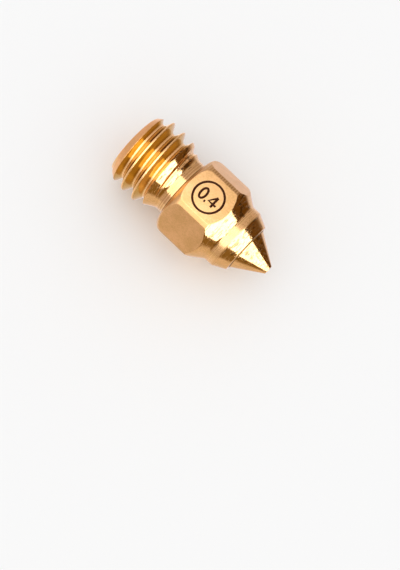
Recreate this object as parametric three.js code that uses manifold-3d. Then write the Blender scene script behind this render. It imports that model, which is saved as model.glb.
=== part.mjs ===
// A brass extruder nozzle of the MK8 pattern for a 3-D printer, turned and milled from one bar.
//
// Millimetres. +X runs along the bore axis toward the tip. +Z is the outward normal of the wrench
// flat that carries the size stamp, and two corners of the hexagon lie at +Y and -Y. The origin is
// on the bore axis, half-way between the sealing face and the tip, and the nozzle lies on a flat.

import * as THREE from "three";
import { mergeVertices } from "three/addons/utils/BufferGeometryUtils.js";
import Module from "manifold-3d";

const wasm = await Module();
wasm.setup();

// Facets around the axis: a multiple of 12 puts one on the middle of each flat and each corner.
const AROUND = 72;

// Stations along the bore axis, given as the distance back from the tip face.
const LENGTH = 13.0;
const NOSE_BACK = 2.17;
const SHOULDER_CONE_BACK = 3.13;
const COLLAR_BACK = 3.78;
const BODY_FRONT = 5.0;
const BODY_BACK = 8.16;
const NECK_BACK = 8.86;
const THREAD_FRONT = 10.1;
const END_CHAMFER = 0.8;

// Radii about the bore axis.
const TIP_RADIUS = 0.34;
const NOSE_RADIUS = 1.75;
const NOSE_FILLET = 0.12;
const NOSE_STEP_RADIUS = 2.0;
const COLLAR_RADIUS = 2.48;
const BODY_RADIUS = 3.34;
const BODY_ROUNDING = 0.85;
const NECK_RADIUS = 2.24;
const NECK_FILLET = 0.18;
const SEALING_RADIUS = 2.4;

// The hexagon milled onto the body, and the M6 x 1 right-hand thread, with a crest at CREST_BACK
// where the thread crosses the +Y side.
const ACROSS_FLATS = 6.0;
const PITCH = 1.0;
const MAJOR_RADIUS = 2.965;
const ROOT_RADIUS = 2.36;
const ROOT_FLAT = 0.2;
const FLANK_ANGLE = THREE.MathUtils.degToRad(30);
const CREST_BACK = 11.96;
// How far the groove's cutter stands out past the crests, and on past the end of the neck.
const CUTTER_PROUD = 0.08;
const CUTTER_OVERRUN = 0.1;

// The filament bore: a drilled hole, a 60 degree cone and the orifice with its land.
const BORE_RADIUS = 1.0;
const MOUTH_CHAMFER = 0.12;
const ORIFICE_RADIUS = 0.2;
const ORIFICE_LAND = 0.8;
const CONE_HALF_ANGLE = THREE.MathUtils.degToRad(30);

const tipX = LENGTH / 2;
const station = (back) => tipX - back;

// Points on a quarter arc or less, from angle `from` to angle `to`, about a centre (x, radius).
function arc(centreX, centreRadius, radius, from, to, steps) {
  return Array.from({ length: steps + 1 }, (_, i) => {
    const angle = from + ((to - from) * i) / steps;
    return [centreX + radius * Math.cos(angle), centreRadius + radius * Math.sin(angle)];
  });
}

// The outside of the turned blank, from the tip back to the sealing face, as [x, radius] points.
function outsideOutline() {
  const right = Math.PI / 2;
  const bodyBack = station(BODY_BACK);
  const roundingCentre = BODY_RADIUS - BODY_ROUNDING;
  const neckFilletCentre = NECK_RADIUS + NECK_FILLET;
  return [
    [tipX, TIP_RADIUS],
    ...arc(station(NOSE_BACK) + NOSE_FILLET, NOSE_RADIUS + NOSE_FILLET, NOSE_FILLET, -right, -2 * right, 3),
    [station(NOSE_BACK), NOSE_STEP_RADIUS],
    [station(SHOULDER_CONE_BACK), COLLAR_RADIUS],
    [station(COLLAR_BACK), COLLAR_RADIUS],
    [station(BODY_FRONT), BODY_RADIUS],
    ...arc(bodyBack + BODY_ROUNDING, roundingCentre, BODY_ROUNDING, right, 2 * right, 6),
    ...arc(bodyBack - NECK_FILLET, neckFilletCentre, NECK_FILLET, 0, -right, 4),
    [station(NECK_BACK), NECK_RADIUS],
    [station(THREAD_FRONT), MAJOR_RADIUS],
    [station(LENGTH - END_CHAMFER), MAJOR_RADIUS],
    [station(LENGTH), SEALING_RADIUS],
  ];
}

// The filament path, from the sealing face forward to the orifice.
function boreOutline() {
  const coneLength = (BORE_RADIUS - ORIFICE_RADIUS) / Math.tan(CONE_HALF_ANGLE);
  return [
    [station(LENGTH), BORE_RADIUS + MOUTH_CHAMFER],
    [station(LENGTH - MOUTH_CHAMFER), BORE_RADIUS],
    [station(ORIFICE_LAND + coneLength), BORE_RADIUS],
    [station(ORIFICE_LAND), ORIFICE_RADIUS],
    [tipX, ORIFICE_RADIUS],
  ];
}

// A lathe solid about the X axis from a closed outline of [x, radius] points.
function turned(outline) {
  // The lathe wants the outline the other way round for its faces to point outward.
  const points = outline.map(([x, radius]) => new THREE.Vector2(radius, x)).reverse();
  points.push(points[0].clone());
  const geometry = new THREE.LatheGeometry(points, AROUND);
  // The lathe axis Y becomes +X.
  return geometry.rotateZ(-Math.PI / 2);
}

// A hexagonal prism along X with a flat facing +Z, longer than the nozzle.
function hexagon() {
  const cornerRadius = ACROSS_FLATS / 2 / Math.cos(Math.PI / 6);
  const shape = new THREE.Shape(
    Array.from({ length: 6 }, (_, i) => {
      const angle = (i * Math.PI) / 3;
      return new THREE.Vector2(cornerRadius * Math.cos(angle), cornerRadius * Math.sin(angle));
    }),
  );
  const depth = LENGTH + 2;
  const prism = new THREE.ExtrudeGeometry(shape, { depth, bevelEnabled: false });
  // Shape X goes to +Y, shape Y to +Z and the depth to +X.
  prism.translate(0, 0, -depth / 2);
  return prism.applyMatrix4(new THREE.Matrix4().makeBasis(
    new THREE.Vector3(0, 1, 0),
    new THREE.Vector3(0, 0, 1),
    new THREE.Vector3(1, 0, 0),
  ));
}

// The thread groove as a closed helical bar, right-handed, from outside the sealing face to the neck.
function threadGroove() {
  const outerRadius = MAJOR_RADIUS + CUTTER_PROUD;
  const rootHalf = ROOT_FLAT / 2;
  const mouthHalf = rootHalf + (outerRadius - ROOT_RADIUS) * Math.tan(FLANK_ANGLE);
  const section = [
    [-rootHalf, ROOT_RADIUS],
    [rootHalf, ROOT_RADIUS],
    [mouthHalf, outerRadius],
    [-mouthHalf, outerRadius],
  ];
  // Half a pitch from a crest, so that the cutter is at the bottom of a groove, and past the end face.
  const startX = station(CREST_BACK) - 2.5 * PITCH;
  const endX = station(NECK_BACK) + CUTTER_OVERRUN;
  const steps = Math.floor(((endX - startX) / PITCH) * AROUND);
  const positions = [];
  for (let step = 0; step <= steps; step++) {
    const angle = (step / AROUND) * 2 * Math.PI;
    const x = startX + (step / AROUND) * PITCH;
    for (const [along, radius] of section) {
      positions.push(x + along, radius * Math.cos(angle), radius * Math.sin(angle));
    }
  }
  const index = [0, 2, 1, 0, 3, 2];
  for (let step = 0; step < steps; step++) {
    for (let side = 0; side < 4; side++) {
      const here = step * 4 + side;
      const next = step * 4 + ((side + 1) % 4);
      index.push(here, next, next + 4, here, next + 4, here + 4);
    }
  }
  const last = steps * 4;
  index.push(last, last + 1, last + 2, last, last + 2, last + 3);
  const geometry = new THREE.BufferGeometry();
  geometry.setAttribute("position", new THREE.Float32BufferAttribute(positions, 3));
  geometry.setIndex(index);
  return geometry;
}

// A three.js geometry as a manifold solid, with its seams merged and its collapsed triangles left out.
function solid(geometry) {
  const bare = geometry.clone();
  bare.deleteAttribute("normal");
  bare.deleteAttribute("uv");
  const merged = mergeVertices(bare, 1e-5);
  const triangles = merged.index.array;
  const keep = [];
  for (let i = 0; i < triangles.length; i += 3) {
    const [a, b, c] = triangles.slice(i, i + 3);
    if (a !== b && b !== c && c !== a) {
      keep.push(a, b, c);
    }
  }
  const mesh = new wasm.Mesh({
    numProp: 3,
    vertProperties: Float32Array.from(merged.attributes.position.array),
    triVerts: Uint32Array.from(keep),
  });
  return new wasm.Manifold(mesh);
}

// A manifold solid as a three.js geometry with its own flat-shaded normals.
function geometryOf(manifold) {
  const mesh = manifold.getMesh();
  const geometry = new THREE.BufferGeometry();
  geometry.setAttribute("position", new THREE.BufferAttribute(mesh.vertProperties, mesh.numProp));
  geometry.setIndex(new THREE.BufferAttribute(mesh.triVerts, 1));
  geometry.computeVertexNormals();
  return geometry;
}

function nozzleGeometry() {
  const blank = solid(turned([...outsideOutline(), ...boreOutline()]));
  const milled = blank.intersect(solid(hexagon()));
  return geometryOf(milled.subtract(solid(threadGroove())));
}

const brass = new THREE.MeshStandardMaterial({ color: 0xc99b52, roughness: 0.3, metalness: 1.0 });

const nozzle = new THREE.Group();
const body = new THREE.Mesh(nozzleGeometry(), brass);
body.name = "nozzle_body";
nozzle.add(body);

export default nozzle;
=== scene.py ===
"""A brass extruder nozzle of the MK8 pattern, lying on a wrench flat on a pale table.

+X runs along the bore toward the tip and +Z out of the flat that carries the size stamp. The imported
CAD solid gives the overall sizes. The visible nozzle is one fine mesh, swept from the same profile
with its edges rounded, its flats milled, its thread cut and its size stamp engraved.
"""

import math

import bpy
import numpy as np
from mathutils import Matrix, Vector


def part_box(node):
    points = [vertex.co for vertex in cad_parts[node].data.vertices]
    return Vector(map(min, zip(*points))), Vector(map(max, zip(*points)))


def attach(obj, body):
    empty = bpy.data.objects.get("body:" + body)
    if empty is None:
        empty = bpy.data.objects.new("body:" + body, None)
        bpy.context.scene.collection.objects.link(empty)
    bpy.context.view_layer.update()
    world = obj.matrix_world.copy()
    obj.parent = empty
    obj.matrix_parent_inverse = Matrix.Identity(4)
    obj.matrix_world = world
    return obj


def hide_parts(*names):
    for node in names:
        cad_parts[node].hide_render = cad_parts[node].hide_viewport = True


MM = 0.001
CAD_NODE = "nozzle_body"

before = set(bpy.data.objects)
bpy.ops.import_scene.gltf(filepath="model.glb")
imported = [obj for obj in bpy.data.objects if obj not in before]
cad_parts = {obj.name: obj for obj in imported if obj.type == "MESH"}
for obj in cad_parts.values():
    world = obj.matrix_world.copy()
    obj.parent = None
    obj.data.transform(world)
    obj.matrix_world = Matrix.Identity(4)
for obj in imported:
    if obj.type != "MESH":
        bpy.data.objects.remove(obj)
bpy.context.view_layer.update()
low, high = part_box(CAD_NODE)

# Overall sizes from the CAD solid, in millimetres.
TIP_X = high.x / MM
LENGTH = (high.x - low.x) / MM
BODY_RADIUS = high.y / MM
FLAT_HEIGHT = high.z / MM

# The thread, M6 x 1 right-hand, with a crest at CREST_BACK where it crosses the +Y side.
PITCH = 1.0
MAJOR_RADIUS = 2.965
ROOT_RADIUS = 2.36
ROOT_FLAT = 0.2
FLANK_SLOPE = 1 / math.tan(math.radians(30))
CREST_BACK = 11.96
# Where the groove's own finish starts, just ahead of the full thread.
THREAD_FINISH_FROM = 10.0

# How much the cutters' edges are worn or burnished round.
FLAT_EDGE_BLEND = 0.03
FLAT_CROWN = 0.012
CREST_BLEND = 0.03
ROOT_BLEND = 0.14
ROOT_BURNISH = 0.012

# Stations as distances back from the tip face, and radii about the bore axis.
NOSE_BACK = 2.17
NOSE_RADIUS = 1.75
COLLAR_RADIUS = 2.48
BODY_BACK = 8.16
NECK_BACK = 8.86
NECK_RADIUS = 2.24
ORIFICE_RADIUS = 0.2
ORIFICE_LAND = 0.8
BORE_RADIUS = 1.0
MOUTH_CHAMFER = 0.12

# The turned profile as corners: distance back from the tip, radius, edge rounding, and the finish
# of the surface that runs from this corner to the next one. It closes on itself at the orifice.
PROFILE = [
    (0.0, ORIFICE_RADIUS, 0.01, "turned"),
    (0.0, 0.34, 0.05, "polished"),
    (NOSE_BACK, NOSE_RADIUS, 0.12, "polished"),
    (NOSE_BACK, 2.0, 0.13, "polished"),
    (3.13, COLLAR_RADIUS, 0.3, "turned"),
    (3.78, COLLAR_RADIUS, 0.4, "polished"),
    (5.0, BODY_RADIUS, 0.1, "barrel"),
    (BODY_BACK, BODY_RADIUS, 0.85, "barrel"),
    (BODY_BACK, NECK_RADIUS, 0.16, "necked"),
    (NECK_BACK, NECK_RADIUS, 0.5, "polished"),
    (10.1, MAJOR_RADIUS, 0.05, "burnished"),
    (LENGTH - 0.8, MAJOR_RADIUS, 0.25, "faced"),
    (LENGTH, 2.4, 0.2, "faced"),
    (LENGTH, BORE_RADIUS + MOUTH_CHAMFER, 0.02, "faced"),
    (LENGTH - MOUTH_CHAMFER, BORE_RADIUS, 0.02, "bored"),
    (2.19, BORE_RADIUS, 0.1, "bored"),
    (ORIFICE_LAND, ORIFICE_RADIUS, 0.03, "bored"),
]
# The inside corners at the nose's step and at the neck, which get a dark brass as painted shade, as (back,
# radius, reach).
CREASES = ((NOSE_BACK, NOSE_RADIUS, 0.12), (BODY_BACK, NECK_RADIUS, 0.13))

# The longest steps between rows of the mesh, in millimetres: where the radius is the bore's or less,
# along the thread, where the flats end in curved scallops, and elsewhere. A rounded corner has a row
# for each CORNER_TURN.
NARROW_STEP = 0.5
THREAD_STEP = 0.022
SCALLOP_STEP = 0.035
PLAIN_STEP = 0.2
SCALLOP_ZONES = ((4.2, 5.1), (7.3, 8.2))
CORNER_TURN = math.radians(9)

# Columns of the mesh around the axis, within half of one 60 degree sector of the hexagon.
FLAT_COLUMNS = 5
EDGE_OFFSETS = [math.radians(a) for a in (-1.6, -0.8, -0.3, 0.3, 0.8, 1.6)]
CORNER_COLUMNS = 7
LEAST_FLAT_ANGLE = math.radians(9)

# The size stamp on the top flat: a ring with the orifice size inside it.
STAMP_BACK = 6.3
STAMP_ACROSS = -0.05
STAMP_RING = 1.12
STAMP_LINE = 0.085
# Edges turning more than this stay crisp, such as the rims of the stamp's strokes.
SHARP_EDGE = math.radians(40)

# Clean brass, and how much of its red, green and blue the darker clouds on it keep.
CLEAN_TINT = (0.93, 0.60, 0.29)
CLOUDS_PER_MM = 1.1
DARK_CLOUD = (0.84, 0.84, 0.72)
CLOUD_EDGES = (0.38, 0.6)
# The rings of tool marks lean with the radius, so that they cross a flat end as circles too. They
# make this share of the changes in roughness, and the grain makes the rest.
RING_LEAN = 0.6
RING_SHARE = 0.6
# The middle part of a noise, where nearly all of its values lie.
NOISE_RANGE = (0.3, 0.7)
# Where marks that are on the +Y side only fade in.
ONE_SIDE = (0.2 * MM, 1.2 * MM)

# Wear marks with painted dark reflections, on the upper side only, where the highlight falls: patterns as
# (marks per mm along the axis, marks per turn), the part of the noise that shows as a mark, and how
# strongly it darkens the colour as painted reflection, dulls and dents the brass. The upper side is where
# the height over the axis is more than these shares of the radius.
BLOT_PATTERN = (2.4, 26)
BLOT_EDGES = (0.58, 0.68)
BLOT_STRENGTH = 0.75
BLOT_DEPTH = 0.4
SCRATCH_PATTERN = (11.0, 22)
SCRATCH_EDGES = (0.64, 0.70)
UPPER_SIDE = (0.55, 0.8)
WEAR_AND_REFLECTION_DARKENING = 0.28
WEAR_ROUGHNESS = 0.06
WEAR_DEPTH = 0.006


def add_node(tree, kind, **values):
    """A node with its named inputs set."""
    made = tree.nodes.new(kind)
    for name, value in values.items():
        made.inputs[name.replace("_", " ")].default_value = value
    return made


def add_math(tree, operation, first, second=None):
    """The result of a Math node fed by sockets or plain numbers."""
    made = tree.nodes.new("ShaderNodeMath")
    made.operation = operation
    for socket, value in zip(made.inputs, (first, second)):
        if isinstance(value, bpy.types.NodeSocket):
            tree.links.new(value, socket)
        elif value is not None:
            socket.default_value = value
    return made.outputs[0]


def weighted_sum(tree, first, first_weight, second, second_weight):
    """first * first_weight + second * second_weight."""
    return add_math(
        tree,
        "ADD",
        add_math(tree, "MULTIPLY", first, first_weight),
        add_math(tree, "MULTIPLY", second, second_weight),
    )


def colour_ramp(tree, value, stops):
    """A colour from a value, by (position, colour) stops."""
    made = tree.nodes.new("ShaderNodeValToRGB")
    for element, (position, colour) in zip(made.color_ramp.elements, stops):
        element.position = position
        element.color = (*colour, 1)
    tree.links.new(value, made.inputs[0])
    return made.outputs[0]


def map_range(tree, value, start, end, interpolation="LINEAR", to=(0.0, 1.0)):
    """The value with start and end moved to the two ends of `to`, and held between them."""
    made = add_node(tree, "ShaderNodeMapRange", From_Min=start, From_Max=end, To_Min=to[0], To_Max=to[1])
    made.interpolation_type = interpolation
    tree.links.new(value, made.inputs["Value"])
    return made.outputs["Result"]


def band(tree, value, start, end):
    """0 at start and 1 at end, with a soft edge."""
    return map_range(tree, value, start, end, interpolation="SMOOTHSTEP")


def blend_colours(tree, factor, first, second):
    """The mix of two colours, each a socket or a plain colour."""
    made = tree.nodes.new("ShaderNodeMix")
    made.data_type = "RGBA"
    tree.links.new(factor, made.inputs["Factor"])
    for name, value in (("A", first), ("B", second)):
        if isinstance(value, bpy.types.NodeSocket):
            tree.links.new(value, made.inputs[name])
        else:
            made.inputs[name].default_value = (*value, 1)
    return made.outputs["Result"]


def noise(tree, vector, per_mm, detail):
    """Noise in all three directions."""
    made = add_node(tree, "ShaderNodeTexNoise", Scale=per_mm / MM, Detail=detail)
    tree.links.new(vector, made.inputs["Vector"])
    return made.outputs["Fac"]


def ring_noise(tree, along, per_mm):
    """Noise that is the same all the way round the bore axis."""
    made = add_node(tree, "ShaderNodeTexNoise", Scale=per_mm / MM, Detail=1.5)
    made.noise_dimensions = "1D"
    tree.links.new(along, made.inputs["W"])
    return made.outputs["Fac"]


def unrolled_noise(tree, along, around, pattern):
    """Noise stretched round the bore axis, with its seam on the underside."""
    along_per_mm, around_per_turn = pattern
    place = tree.nodes.new("ShaderNodeCombineXYZ")
    tree.links.new(add_math(tree, "MULTIPLY", along, along_per_mm / MM), place.inputs[0])
    tree.links.new(add_math(tree, "MULTIPLY", around, around_per_turn / (2 * math.pi)), place.inputs[1])
    made = add_node(tree, "ShaderNodeTexNoise", Scale=1.0, Detail=1.5)
    made.noise_dimensions = "2D"
    tree.links.new(place.outputs[0], made.inputs["Vector"])
    return made.outputs["Fac"]


def brass(name, rough, rough_spread, rings, grain, tint=CLEAN_TINT, wear_and_dark_reflections=False,
          ripples=None, one_side=False):
    """Brass with rings of tool marks around the bore axis and a fine grain.

    The roughness is rough, give or take rough_spread. rings, grain and ripples are (marks per mm,
    depth in mm). Worn brass has dull, dented blots and short scratches round the axis, on its upper side,
    where the highlight falls; their darker colour there is painted dark reflection as well as wear.
    Ripples are a cutter's regular marks, which can be on the +Y side only.
    """
    material = bpy.data.materials.new(name)
    material.use_nodes = True
    tree = material.node_tree
    shader = tree.nodes["Principled BSDF"]
    shader.inputs["Metallic"].default_value = 1.0
    place = tree.nodes.new("ShaderNodeTexCoord").outputs["Object"]
    split = tree.nodes.new("ShaderNodeSeparateXYZ")
    tree.links.new(place, split.inputs[0])
    x, y, z = split.outputs
    squares = add_math(tree, "ADD", add_math(tree, "MULTIPLY", y, y), add_math(tree, "MULTIPLY", z, z))
    radius = add_math(tree, "SQRT", squares)
    along = add_math(tree, "SUBTRACT", x, add_math(tree, "MULTIPLY", radius, RING_LEAN))
    around = add_math(tree, "ARCTAN2", y, z)

    lines = ring_noise(tree, along, rings[0])
    specks = noise(tree, place, grain[0], 2.5)
    clouds = noise(tree, place, CLOUDS_PER_MM, 2.0)
    dark = tuple(c * share for c, share in zip(tint, DARK_CLOUD))
    mottle = weighted_sum(tree, clouds, 0.5, specks, 0.5)
    colour = colour_ramp(tree, mottle, list(zip(CLOUD_EDGES, (dark, tint))))
    marks = weighted_sum(tree, lines, RING_SHARE, specks, 1 - RING_SHARE)
    roughness = map_range(tree, marks, *NOISE_RANGE, to=(rough - rough_spread, rough + rough_spread))
    height = weighted_sum(tree, lines, rings[1], specks, grain[1])

    if wear_and_dark_reflections:
        blots = band(tree, unrolled_noise(tree, along, around, BLOT_PATTERN), *BLOT_EDGES)
        scratches = band(tree, unrolled_noise(tree, along, around, SCRATCH_PATTERN), *SCRATCH_EDGES)
        upper = band(tree, add_math(tree, "DIVIDE", z, radius), *UPPER_SIDE)
        # On the upper side, where the highlight falls, the marks darken the colour: painted dark
        # reflections in the highlight, on top of the real dulling and dents.
        wear_and_reflection_marks = add_math(tree, "MAXIMUM", add_math(tree, "MULTIPLY", blots, BLOT_STRENGTH), scratches)
        wear_and_reflection_marks = add_math(tree, "MULTIPLY", wear_and_reflection_marks, upper)
        colour = blend_colours(tree, wear_and_reflection_marks, colour, tuple(c * WEAR_AND_REFLECTION_DARKENING for c in tint))
        roughness = add_math(tree, "ADD", roughness, add_math(tree, "MULTIPLY", wear_and_reflection_marks, WEAR_ROUGHNESS))
        dents = weighted_sum(tree, blots, BLOT_DEPTH * WEAR_DEPTH, scratches, WEAR_DEPTH)
        height = add_math(tree, "SUBTRACT", height, dents)
    if ripples:
        wave = add_math(tree, "SINE", add_math(tree, "MULTIPLY", x, 2 * math.pi * ripples[0] / MM))
        depth = band(tree, y, *ONE_SIDE) if one_side else lines
        wave = add_math(tree, "MULTIPLY", wave, add_math(tree, "MULTIPLY", depth, ripples[1]))
        height = add_math(tree, "ADD", height, wave)

    bump = add_node(tree, "ShaderNodeBump", Distance=MM)
    tree.links.new(height, bump.inputs["Height"])
    tree.links.new(bump.outputs["Normal"], shader.inputs["Normal"])
    tree.links.new(colour, shader.inputs["Base Color"])
    tree.links.new(roughness, shader.inputs["Roughness"])
    return material


MATERIALS = {
    "polished": brass("polished_brass", 0.09, 0.03, (9, 0.0012), (8, 0.0008), wear_and_dark_reflections=True),
    "turned": brass("turned_brass", 0.3, 0.06, (10, 0.009), (12, 0.0006)),
    "barrel": brass("barrel_brass", 0.38, 0.06, (10, 0.002), (12, 0.001), tint=(0.66, 0.40, 0.18),
                    ripples=(5.2, 0.012), one_side=True),
    "necked": brass("necked_brass", 0.16, 0.05, (7, 0.004), (12, 0.0003), tint=(0.80, 0.50, 0.24),
                    ripples=(6.0, 0.009)),
    "threaded": brass("threaded_brass", 0.12, 0.03, (20, 0.0008), (12, 0.0002), tint=(0.70, 0.44, 0.115)),
    "burnished": brass("burnished_brass", 0.36, 0.05, (20, 0.0005), (12, 0.0002), tint=(1.0, 0.66, 0.34)),
    "faced": brass("faced_brass", 0.32, 0.05, (12, 0.002), (12, 0.0006), tint=(0.82, 0.46, 0.205)),
    "bored": brass("bored_brass", 0.35, 0.06, (8, 0.004), (12, 0.001)),
    "milled": brass("milled_brass", 0.34, 0.05, (3, 0.0), (9, 0.008), tint=(0.88, 0.55, 0.26)),
    # Dark brass painted into the two inside corners as shade.
    "crease_shade": brass("crease_shade_brass", 0.4, 0.05, (12, 0.001), (12, 0.001), tint=(0.30, 0.17, 0.05)),
}
# The stamp's cut strokes are coloured near black, darker than the brass around them.
STAMP_MATERIAL = brass("dark_stamp", 0.55, 0.05, (10, 0.001), (12, 0.003), tint=(0.06, 0.022, 0.012))


def row_step(back, radius):
    """The longest allowed step between rows of the mesh at this place on the profile."""
    if radius <= BORE_RADIUS:
        return NARROW_STEP
    if back > NECK_BACK and radius > ROOT_RADIUS:
        return THREAD_STEP
    if any(start < back < end for start, end in SCALLOP_ZONES):
        return SCALLOP_STEP
    return PLAIN_STEP


def profile_rows():
    """The profile's points with its corners rounded, as (back, radius) rows, and each row's finish."""
    corners = [np.array(c[:2]) for c in PROFILE]
    count = len(corners)
    points, finishes = [], []
    for i, (_, _, rounding, finish) in enumerate(PROFILE):
        here = corners[i]
        to_last = corners[i - 1] - here
        to_next = corners[(i + 1) % count] - here
        to_last /= np.linalg.norm(to_last)
        to_next /= np.linalg.norm(to_next)
        half = math.acos(np.clip(to_last @ to_next, -1, 1)) / 2
        reach = rounding / math.tan(half)
        bisector = to_last + to_next
        centre = here + bisector / np.linalg.norm(bisector) * rounding / math.sin(half)
        start = here + to_last * reach - centre
        turn = math.pi - 2 * half
        cross = to_last[0] * to_next[1] - to_last[1] * to_next[0]
        steps = max(3, math.ceil(turn / CORNER_TURN))
        for k in range(steps + 1):
            angle = math.copysign(turn, cross) * -k / steps
            c, s = math.cos(angle), math.sin(angle)
            points.append(centre + np.array([c * start[0] - s * start[1], s * start[0] + c * start[1]]))
            finishes.append(finish)
    return points, finishes


def spread_rows(points, finishes):
    """Adds rows along the straight stretches, wherever two rows are further apart than row_step."""
    rows, names = [], []
    for i, here in enumerate(points):
        following = points[(i + 1) % len(points)]
        middle = (here + following) / 2
        gap = np.linalg.norm(following - here)
        pieces = max(1, math.ceil(gap / row_step(*middle)))
        for k in range(pieces):
            rows.append(here + (following - here) * k / pieces)
            names.append(finishes[i])
    return np.array(rows), names


def column_angles(flat_angle):
    """Angles round the whole turn for one row, crowded along the edges of the six flats."""
    middle = np.linspace(0, flat_angle + EDGE_OFFSETS[0], FLAT_COLUMNS + 1)[:-1]
    edge = flat_angle + np.array(EDGE_OFFSETS)
    corner = np.linspace(flat_angle + EDGE_OFFSETS[-1], math.pi / 6, CORNER_COLUMNS + 1)[1:]
    half = np.concatenate([middle, edge, corner])
    sector = np.concatenate([half, math.pi / 3 - half[-2:0:-1]])
    return np.concatenate([sector + k * math.pi / 3 for k in range(6)])


def smooth_least(a, b, blend):
    """The smaller of a and b, with the crease between them rounded."""
    near = np.maximum(blend - np.abs(a - b), 0) / blend
    return np.minimum(a, b) - near * near * blend / 4


def thread_radius(back, angle):
    """Radius of the endless thread groove at this place. The angle runs from +Y toward +Z."""
    turns = (CREST_BACK - back) / PITCH - angle / (2 * math.pi)
    from_groove = np.abs(turns - np.floor(turns) - 0.5) * PITCH
    rise = (from_groove - ROOT_FLAT / 2) * FLANK_SLOPE
    return ROOT_RADIUS - smooth_least(0.0, -rise, ROOT_BLEND)


def flat_radius(angle):
    """Radius of the slightly crowned milled flats at an angle from the middle of the top one."""
    in_sector = (angle + math.pi / 6) % (math.pi / 3) - math.pi / 6
    across = FLAT_HEIGHT * np.tan(in_sector)
    return (FLAT_HEIGHT - FLAT_CROWN * across * across) / np.cos(in_sector)


def nozzle_grid():
    """The nozzle's vertices as an array (rows, columns, xyz) in millimetres, each row's finish, and
    which vertices have the finish of a flat, a thread flank, a thread root or the painted shade of a
    crease instead."""
    rows, names = spread_rows(*profile_rows())
    grid, milled, flanks, roots, creases = [], [], [], [], []
    for back, radius in rows:
        flat_angle = math.acos(min(1.0, FLAT_HEIGHT / radius))
        from_flat = column_angles(max(LEAST_FLAT_ANGLE, flat_angle))
        # Columns start at the middle of the top flat and turn from +Z toward +Y.
        angle = math.pi / 2 - from_flat
        surface = np.full(len(angle), radius)
        flank = np.full(len(angle), False)
        root = np.full(len(angle), False)
        if back > NECK_BACK and radius > ROOT_RADIUS - ROOT_BLEND:
            thread = thread_radius(back, angle)
            in_groove = (thread < radius) & (back > THREAD_FINISH_FROM)
            root = in_groove & (thread < ROOT_RADIUS + ROOT_BURNISH)
            flank = in_groove & ~root
            surface = smooth_least(surface, thread, CREST_BLEND)
        flats = flat_radius(from_flat)
        if radius > FLAT_HEIGHT - FLAT_EDGE_BLEND:
            surface = smooth_least(surface, flats, FLAT_EDGE_BLEND)
        in_crease = any(math.dist((back, radius), crease[:2]) < crease[2] for crease in CREASES)
        creases.append(np.full(len(angle), in_crease))
        flanks.append(flank)
        roots.append(root)
        milled.append(flats < radius)
        grid.append(np.stack([
            np.full(len(angle), TIP_X - back),
            surface * np.cos(angle),
            surface * np.sin(angle),
        ], axis=1))
    cut_faces = {"milled": milled, "threaded": flanks, "burnished": roots, "crease_shade": creases}
    return np.array(grid), names, cut_faces


def nozzle_mesh():
    """The nozzle as one closed mesh of quads, in metres, with a material slot for each finish."""
    grid, names, cut_faces = nozzle_grid()
    rows, columns = grid.shape[:2]
    index = np.arange(rows * columns).reshape(rows, columns)
    next_row = np.roll(index, -1, axis=0)
    quads = np.stack([index, np.roll(index, -1, axis=1), np.roll(next_row, -1, axis=1), next_row], axis=-1)
    quads = quads.reshape(-1, 4)
    mesh = bpy.data.meshes.new("nozzle")
    mesh.from_pydata((grid.reshape(-1, 3) * MM).tolist(), [], quads.tolist())
    mesh.polygons.foreach_set("use_smooth", np.ones(rows * columns, dtype=bool))
    slots = list(MATERIALS)
    for material in MATERIALS.values():
        mesh.materials.append(material)
    finish = np.repeat([slots.index(name) for name in names], columns)
    for name, on_it in cut_faces.items():
        corners_on_it = np.array(on_it).reshape(-1)[quads].sum(axis=1)
        finish[corners_on_it > 2] = slots.index(name)
    mesh.polygons.foreach_set("material_index", finish.astype(np.int32))
    return mesh


def add_object(name, data):
    made = bpy.data.objects.new(name, data)
    bpy.context.scene.collection.objects.link(made)
    return made


def oval(x, half_width, half_height, points):
    """Points round an oval whose centre is at x on the stamp's middle line."""
    turn = np.linspace(0, 2 * math.pi, points, endpoint=False)
    return [(x + half_width * math.cos(a), half_height * math.sin(a)) for a in turn]


# The stamp's strokes, in millimetres from its centre.
STAMP_STROKES = {
    "ring": oval(0.0, STAMP_RING, STAMP_RING, 72),
    "nought": oval(-0.45, 0.22, 0.42, 32),
    "point": [(-0.11, -0.38), (0.02, -0.38)],
    "four_side": [(0.54, 0.44), (0.14, -0.16), (0.8, -0.16)],
    "four_stem": [(0.54, 0.44), (0.54, -0.44)],
}
CLOSED_STROKES = ("ring", "nought")


def stroke_cutter(name, points):
    """One stroke of the stamp as a thin round bar lying half in the top flat."""
    curve = bpy.data.curves.new(name, "CURVE")
    curve.dimensions = "3D"
    curve.bevel_depth = STAMP_LINE * MM
    curve.bevel_resolution = 2
    curve.use_fill_caps = True
    spline = curve.splines.new("POLY")
    spline.points.add(len(points) - 1)
    spline.use_cyclic_u = name in CLOSED_STROKES
    for point, (x, y) in zip(spline.points, points):
        point.co = ((TIP_X - STAMP_BACK + x) * MM, (y + STAMP_ACROSS) * MM, FLAT_HEIGHT * MM, 1)
    holder = add_object(name, curve)
    mesh = bpy.data.meshes.new_from_object(holder)
    bpy.data.objects.remove(holder)
    mesh.materials.append(STAMP_MATERIAL)
    return add_object(name, mesh)


def engrave(piece):
    """Cuts the size stamp's strokes into the top flat."""
    for name, points in STAMP_STROKES.items():
        cutter = stroke_cutter(name, points)
        cut = piece.modifiers.new(name, "BOOLEAN")
        cut.object = cutter
        cut.solver = "EXACT"
        cut.material_mode = "TRANSFER"
        evaluated = piece.evaluated_get(bpy.context.evaluated_depsgraph_get())
        mesh = bpy.data.meshes.new_from_object(evaluated)
        piece.modifiers.clear()
        piece.data = mesh
        bpy.data.objects.remove(cutter)
    piece.data.set_sharp_from_angle(angle=SHARP_EDGE)


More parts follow.
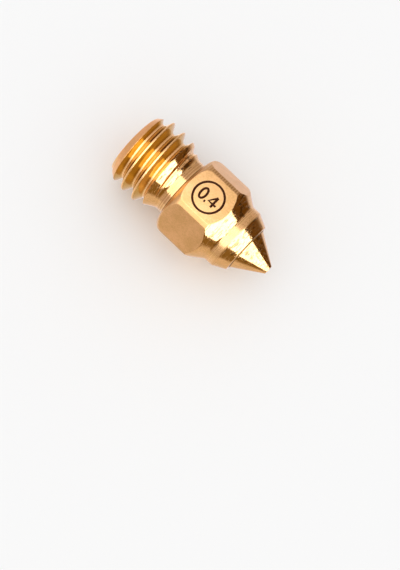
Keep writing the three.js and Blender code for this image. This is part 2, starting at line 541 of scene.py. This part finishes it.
nozzle = add_object("nozzle", nozzle_mesh())
engrave(nozzle)
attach(nozzle, "root")
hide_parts(CAD_NODE)

# Camera
CAMERA_AIM = Vector((3.79, -4.18, 0.0)) * MM
CAMERA_DISTANCE = 87.7 * MM
CAMERA_AZIMUTH = math.radians(12.8)
CAMERA_ELEVATION = math.radians(76.0)
CAMERA_LENS = 79.7
PICTURE_UP = math.radians(133.2)


def add_camera():
    data = bpy.data.cameras.new("camera")
    data.lens = CAMERA_LENS
    data.sensor_width = 36.0
    data.clip_start = 1 * MM
    data.clip_end = 10.0
    camera = add_object("camera", data)
    level = math.cos(CAMERA_ELEVATION)
    back = Vector((
        math.sin(CAMERA_AZIMUTH) * level,
        -math.cos(CAMERA_AZIMUTH) * level,
        math.sin(CAMERA_ELEVATION),
    ))
    up = Vector((math.cos(PICTURE_UP), math.sin(PICTURE_UP), 0.0))
    right = up.cross(back).normalized()
    turn = Matrix((right, back.cross(right), back)).transposed().to_4x4()
    camera.matrix_world = Matrix.Translation(CAMERA_AIM + back * CAMERA_DISTANCE) @ turn
    bpy.context.scene.camera = camera


add_camera()

# Floor
FLOOR_HALF = 2.0
FLOOR_GREY = 0.95


def add_floor():
    corners = [(x * FLOOR_HALF, y * FLOOR_HALF, low.z) for x, y in ((-1, -1), (1, -1), (1, 1), (-1, 1))]
    data = bpy.data.meshes.new("floor")
    data.from_pydata(corners, [], [(0, 1, 2, 3)])
    floor = add_object("floor", data)
    material = bpy.data.materials.new("pale_floor")
    material.use_nodes = True
    shader = material.node_tree.nodes["Principled BSDF"]
    shader.inputs["Base Color"].default_value = (FLOOR_GREY, FLOOR_GREY, FLOOR_GREY, 1)
    shader.inputs["Roughness"].default_value = 1.0
    shader.inputs["Specular IOR Level"].default_value = 0.0
    data.materials.append(material)
    floor.visible_glossy = False


add_floor()

# Softboxes, with their sizes and distance in metres.
SOFTBOX_DISTANCE = 0.5


def add_softbox(name, direction, width, height, brightness):
    """A softbox that the metal reflects, facing the nozzle. Its height runs toward +X or up."""
    data = bpy.data.lights.new(name, "AREA")
    data.shape = "RECTANGLE"
    data.size = width
    data.size_y = height
    data.energy = brightness * width * height * math.pi
    softbox = add_object(name, data)
    back = Vector(direction).normalized()
    top = back.cross(Vector((0, 1, 0))).normalized()
    side = top.cross(back)
    turn = Matrix((side, top, back)).transposed().to_4x4()
    softbox.matrix_world = Matrix.Translation(back * SOFTBOX_DISTANCE) @ turn
    softbox.visible_camera = False
    softbox.visible_diffuse = False


add_softbox("overhead_softbox", (-0.25, -0.42, 0.90), 0.80, 0.68, 1.8)
add_softbox("tip_side_softbox", (0.84, -0.1, 0.54), 0.62, 0.74, 3.5)

# What the metal reflects of the studio: the floor near and far, pale toward the thread's end, and
# the sides above it, dark toward the tip.
NEAR_FLOOR = (0.78, 0.63, 0.51)
FAR_FLOOR = (0.86, 0.76, 0.80)
THREAD_END_FLOOR = (1.15, 1.05, 1.05)
THREAD_END_SIDES = (0.85, 0.74, 0.76)
MIDDLE_SIDES = (0.58, 0.46, 0.40)
NEAR_DARK = (0.27, 0.16, 0.045)
FAR_DARK = (0.14, 0.065, 0.012)
# What the camera and the floor see of it.
PALE = (1.0, 1.0, 1.0)

# Soft edges between those parts of the studio, as components of a direction. The sides reach lower
# on the far side.
NEAR_TO_FAR = (-0.2, 0.2)
FLOOR_TO_THREAD_END = (0.1, -0.4)
MIDDLE_TO_TIP = (0.15, 0.5)
MIDDLE_TO_THREAD_END = (-0.15, -0.45)
FLOOR_TO_SIDES = (-0.5, -0.25)
FAR_SIDE_REACH = 0.13


def add_world():
    """A pale studio to the camera and the floor, with dark sides in the metal's reflections."""
    world = bpy.data.worlds.new("studio")
    bpy.context.scene.world = world
    world.use_nodes = True
    world.cycles.sampling_method = "NONE"
    tree = world.node_tree
    split = tree.nodes.new("ShaderNodeSeparateXYZ")
    tree.links.new(tree.nodes.new("ShaderNodeTexCoord").outputs["Generated"], split.inputs[0])
    x, y, z = split.outputs
    far = band(tree, y, *NEAR_TO_FAR)
    below = blend_colours(tree, far, NEAR_FLOOR, FAR_FLOOR)
    below = blend_colours(tree, band(tree, x, *FLOOR_TO_THREAD_END), below, THREAD_END_FLOOR)
    darkest = blend_colours(tree, far, NEAR_DARK, FAR_DARK)
    beside = blend_colours(tree, band(tree, x, *MIDDLE_TO_TIP), MIDDLE_SIDES, darkest)
    beside = blend_colours(tree, band(tree, x, *MIDDLE_TO_THREAD_END), beside, THREAD_END_SIDES)
    raised = add_math(tree, "ADD", z, add_math(tree, "MULTIPLY", far, FAR_SIDE_REACH))
    studio = blend_colours(tree, band(tree, raised, *FLOOR_TO_SIDES), below, beside)
    seen_in_metal = tree.nodes.new("ShaderNodeLightPath").outputs["Is Glossy Ray"]
    everything = blend_colours(tree, seen_in_metal, PALE, studio)
    tree.links.new(everything, tree.nodes["Background"].inputs["Color"])


add_world()
bpy.context.scene.view_settings.view_transform = "Standard"
